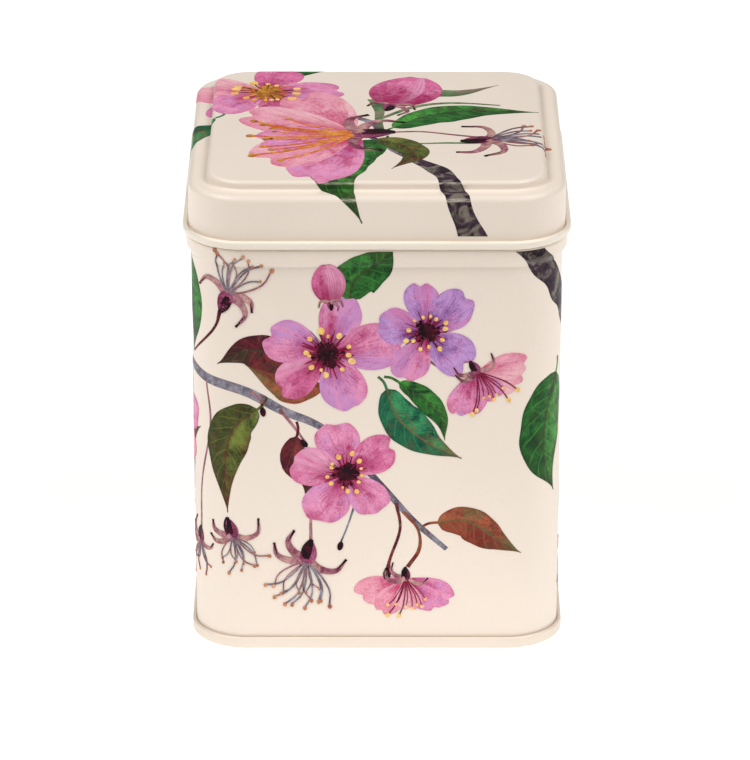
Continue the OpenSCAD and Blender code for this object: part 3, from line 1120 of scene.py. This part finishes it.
lacquerSettings = {
    "tint": (*rgb(240, 226, 211), 1),
    "worn": (*rgb(214, 200, 182), 1),
    # Darker tint for the foot: painted shade against the floor's bounce light.
    "footShadeTint": (*rgb(233, 219, 203), 1),
    # Dark tint for the lock seam's line: painted shade in its groove.
    "foldShadeTint": (*rgb(120, 100, 84), 1),
    "insideTint": (*rgb(244, 233, 217), 1),
    "rub": 0.25,
    "peel": 0.03 * mm,
    "coat": 0.15,
    "coatRoughness": 0.3,
    "foldWidth": 0.4 * mm,
    "foldSoft": 0.12 * mm,
    "foldDark": 0.7,
    "foldDepth": 3.0,
}
printSettings = {
    "split": 0.6,
    "gleam": 0.62,
    "tip": 0.75,
    "specular": 0.12,
    "veins": 0.6,
    "foot": 0.7,
    "bleed": 0.45,
    "rim": 0.5,
    "half": 0.55,
    "side": 0.4,
    "rib": 0.6,
    "bend": 0.55,
    "relief": 0.02 * mm,
    "petalBleed": 0.8,
    "lean": {"leaf": 0.0, "bark": -0.15, "line": -0.1},
}


def newMaterial(name):
    material = bpy.data.materials.new(name)
    material.use_nodes = True
    material.node_tree.nodes.clear()
    g = Graph(material.node_tree)
    shader = g.node("ShaderNodeBsdfPrincipled")
    g.node("ShaderNodeOutputMaterial", {"Surface": shader.outputs[0]})
    return material, g, shader


def finishSkin(g, shader, skin, height, distance):
    g.link(skin["Roughness"], shader.inputs["Roughness"])
    bumped = g.put("ShaderNodeBump", {"Height": height, "Distance": distance, "Strength": 1.0})
    g.link(bumped, shader.inputs["Normal"])


def lacquered(g, tint):
    worn, rub = lacquerSettings["worn"], lacquerSettings["rub"]
    return g.group(groups["skin"], {"Tint": tint, "Worn": worn, "Rub": rub})


# A coated sheet: its foot is darkened with painted shade, the sheet's inner face has a tint of its own,
# and foldAt draws the lock seam's line down the back as a dent whose darker colour is painted shade.
def sheetMaterial(name, footTop, foldAt=None):
    settings = lacquerSettings
    material, g, shader = newMaterial(name)
    spot = g.split(g.place())
    # Painted shade: below footTop the colour fades to the darker foot tint, tempering the floor's bounce
    # light on the foot.
    below = g.fade(spot["Z"], footTop + 0.1 * mm, footTop)
    tint = g.mix(below, settings["tint"], settings["footShadeTint"])
    tint = g.mix(g.mark("inside", "Fac"), tint, settings["insideTint"])
    skin = lacquered(g, tint)
    colour, height = skin["Color"], skin["Height"]
    if foldAt is not None:
        edge = settings["foldWidth"] / 2
        gap = g.maths("ABSOLUTE", g.maths("SUBTRACT", spot["X"], foldAt))
        fold = g.multiply(g.fade(gap, edge, edge - settings["foldSoft"]), g.fade(spot["Y"], 0, 1 * mm))
        fold = g.multiply(fold, g.fade(spot["Z"], beadFootZ, beadFootZ - edge))
        # Painted shade: the seam's line is darkened to stand in for the shadow in its groove; the dent in
        # the height is real relief.
        colour = g.mix(g.multiply(fold, settings["foldDark"]), colour, settings["foldShadeTint"])
        height = g.maths("SUBTRACT", height, g.multiply(fold, settings["foldDepth"]))
    g.link(colour, shader.inputs["Base Color"])
    shader.inputs["Coat Weight"].default_value = settings["coat"]
    shader.inputs["Coat Roughness"].default_value = settings["coatRoughness"]
    finishSkin(g, shader, skin, height, settings["peel"])
    return material


def inkMaterial(name, kind):
    settings = printSettings
    material, g, shader = newMaterial(name)
    deep, pale, accent = (g.mark(key, "Color") for key in colourNames)
    spot = g.mark("inkSpot", "Vector")
    parts = g.split(spot)
    place = g.vector("ADD", g.place(), g.vector("MULTIPLY", spot, (0.0, 0.0, 0.31)))
    across, bleed = g.maths("ABSOLUTE", parts["X"]), settings["bleed"]
    if kind == "petal":
        across = g.maths("MAXIMUM", across, parts["Y"])
        bleed *= settings["petalBleed"]
        lean = g.fade(parts["Y"], 0.2, 1.0, -0.25, 0.5)
    else:
        lean = settings["lean"][kind]
    values = {"Place": place, "Deep": deep, "Pale": pale, "Accent": accent}
    values.update({"Across": across, "Lean": lean, "Bleed": bleed, "Rim": settings["rim"]})
    colour = g.group(groups["wash"], values)["Color"]
    layers = {
        "petal": (("Split", accent), ("Gleam", pale), ("Veins", deep), ("Foot", deep)),
        "leaf": (("Tip", accent), ("Half", deep), ("Side", pale), ("Rib", accent)),
    }
    if kind in layers:
        marks = g.group(groups[kind], {"Place": place, "Spot": spot})
        for key, target in layers[kind]:
            colour = g.mix(g.multiply(marks[key], settings[key.lower()]), colour, target)
    bend = g.group(groups["bend"], {"Panel Z": tinSizes["topZ"], "Ledge Z": ledgeZ})["Pale"]
    colour = g.mix(g.multiply(bend, settings["bend"]), colour, lacquerSettings["tint"])
    skin = lacquered(g, colour)
    g.link(skin["Color"], shader.inputs["Base Color"])
    shader.inputs["Specular IOR Level"].default_value = settings["specular"]
    finishSkin(g, shader, skin, skin["Height"], settings["relief"])
    return material


inkMaterials = {
    "twigs": inkMaterial("barkInk", "bark"),
    "leaves": inkMaterial("leafInk", "leaf"),
    "petals": inkMaterial("petalInk", "petal"),
    "lines": inkMaterial("lineInk", "line"),
}
inkMaterials["stamens"] = inkMaterials["lines"]
# Height up to which the foot gets its painted shade.
footTop = baseSizes["seamHeight"] + 0.4 * mm
wallMaterial = sheetMaterial("wallLacquer", footTop, neckSizes["lockWidth"] / 2)
lidMaterial = sheetMaterial("lidLacquer", 0.0)
baseMaterial = sheetMaterial("baseLacquer", footTop)
print("materials built", len(bpy.data.materials))

pressedSheet("wallShell", wallLine(), wallMaterial, "tin", "body_wall")
pressedSheet("baseShell", baseLine(), baseMaterial, "tin", "base_end")
pressedSheet("lidShell", lidLine(), lidMaterial, "lid", "lid")


# The lock seam: the wall's two edges hooked together and pressed flat inside the back.
def buildLockSeam():
    half, thick = neckSizes["lockWidth"] / 2, 3 * sheet
    faceY = core + corner - sheet
    low = baseSizes["recess"] + 2 * sheet + neckSizes["lockRise"]
    high = beadFootZ - sheet
    profile = [(half, faceY + halfSheet)]
    profile += arc((half - thick / 2, faceY - thick / 2), thick / 2, 0, -90, 15)
    profile += arc((-half + thick / 2, faceY - thick / 2), thick / 2, 270, 180, 15)
    profile.append((-half, faceY + halfSheet))
    count = len(profile)
    faces = [(i, (i + 1) % count, (i + 1) % count + count, i + count) for i in range(count)]
    faces += [tuple(range(count)), tuple(range(2 * count - 1, count - 1, -1))]
    mesh = bpy.data.meshes.new("lockSeam")
    mesh.from_pydata([(x, y, z) for z in (low, high) for x, y in profile], [], faces)
    reshape(mesh, turnOutward)
    addMarks(mesh, "inside", "FLOAT", "value", [1.0] * len(mesh.vertices))
    mesh.shade_smooth()
    mesh.set_sharp_from_angle(angle=math.radians(50))
    mesh.materials.append(wallMaterial)
    made = addObject("lockSeam", mesh)
    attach(made, "tin")


buildLockSeam()
wallWrap = buildWallWrap()
lidWrap = buildLidWrap()
scatterTree = buildScatterTree()
stamenObjects = {f"Stamen {kind}": stamenTemplate(kind, values) for kind, values in stamenKinds.items()}
outlineCurve = polyCurve("lidOutline", [(x, 0.0, z) for x, z in lidOutline()], False)


def wrapFilms(films, prefix, wrapTree, wrapValues, body, low, high):
    for key, film in films.items():
        name = f"{prefix}{key.capitalize()}"
        material = {"Material": inkMaterials[key]}
        steps = [(wrapTree, {**wrapValues, **material})]
        if key == "stamens":
            source = stamenPoints(film, name)
            steps.insert(0, (scatterTree, {**stamenObjects, **material}))
        else:
            source = filmObject(film, name, low, high)
        made = runTrees(source, steps, name)
        made.data.shade_flat()
        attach(made, body)
        print(name, "faces", len(made.data.polygons))


wallValues = {
    "Path": pathRound,
    "Flare Start": flareStart,
    "Flare End": flareEnd,
    "Flare Reach": neckSizes["beadReach"] + filmSizes["flareLift"] * mm,
}
around = 8 * core / mm + 2 * math.pi * corner / mm
low, high = (-around, filmSizes["wallFoot"]), (2 * around, filmSizes["wallTop"])
wrapFilms(wallFilms, "wall", wallWrap, wallValues, "tin", low, high)
lidValues = {"Outline": outlineCurve, "Core": core}
reach = (core + riserOut) / mm + filmSizes["lidDrop"]
low, high = (-reach, -reach), (reach, reach)
wrapFilms(lidFilms, "lid", lidWrap, lidValues, "lid", low, high)

for helper in [pathRound, outlineCurve, *stamenObjects.values()]:
    bpy.data.objects.remove(helper)

# Floor, light and camera
studio = {
    "floorFront": -0.4,
    "floorBack": 2.2,
    "floorHalf": 2.0,
    "floorTint": (*rgb(246, 245, 243), 1),
    "floorRoughness": 0.7,
    "floorGlow": 0.45,
    "glowStart": -0.22,
    "glowFull": -0.1,
    "worldStrength": 0.2,
    "boxEnergy": 10.1,
    "boxSide": 0.75,
    "boxFront": -0.43,
    "boxHeight": 1.1,
    "boxSize": 0.7,
    "cameraDistance": 1.019,
    "cameraAngle": 22.27,
    "pitch": 67.457,
    "aimHeight": 0.05,
    "lens": 229.68,
    "shift": -0.0025,
}


def buildFloor():
    half, front, back = studio["floorHalf"], studio["floorFront"], studio["floorBack"]
    mesh = bpy.data.meshes.new("floor")
    places = [(-half, front, 0), (half, front, 0), (half, back, 0), (-half, back, 0)]
    mesh.from_pydata(places, [], [(0, 1, 2, 3)])
    material, g, shader = newMaterial("paleFloor")
    cloud = g.fade(g.noise(g.place(), 6.0, 3.0), 0.3, 0.7, 0.97, 1.0)
    g.link(g.shade(studio["floorTint"], cloud), shader.inputs["Base Color"])
    shader.inputs["Roughness"].default_value = studio["floorRoughness"]
    glow = g.fade(g.split(g.place())["Y"], studio["glowStart"], studio["glowFull"])
    g.link(g.grey(glow), shader.inputs["Emission Color"])
    shader.inputs["Emission Strength"].default_value = studio["floorGlow"]
    mesh.materials.append(material)
    addObject("floor", mesh)


def areaLight(name, place, aim, size, energy):
    light = bpy.data.lights.new(name, "AREA")
    light.energy = energy
    light.size = size
    lamp = addObject(name, light)
    lamp.location = place
    lamp.rotation_euler = (Vector(aim) - Vector(place)).to_track_quat("-Z", "Y").to_euler()


def buildStudio():
    buildFloor()
    for side in (-1, 1):
        place = (studio["boxSide"] * side, studio["boxFront"], studio["boxHeight"])
        areaLight("softBox", place, (0, 0, 0.06), studio["boxSize"], studio["boxEnergy"])
    world = bpy.data.worlds.new("studio")
    world.use_nodes = True
    background = world.node_tree.nodes["Background"]
    background.inputs[0].default_value = (1, 1, 1, 1)
    background.inputs[1].default_value = studio["worldStrength"]
    bpy.context.scene.world = world
    bpy.context.scene.view_settings.view_transform = "Standard"


def buildCamera():
    lens = bpy.data.cameras.new("camera")
    lens.lens = studio["lens"]
    lens.sensor_fit = "HORIZONTAL"
    lens.sensor_width = 36
    lens.shift_x = studio["shift"]
    lens.dof.use_dof = False
    camera = addObject("camera", lens)
    angle = math.radians(studio["cameraAngle"])
    distance = studio["cameraDistance"]
    camera.location = (0, -distance * math.cos(angle), studio["aimHeight"] + distance * math.sin(angle))
    camera.rotation_euler = (math.radians(studio["pitch"]), 0, 0)
    bpy.context.scene.camera = camera


buildStudio()
buildCamera()
print("studio ready")
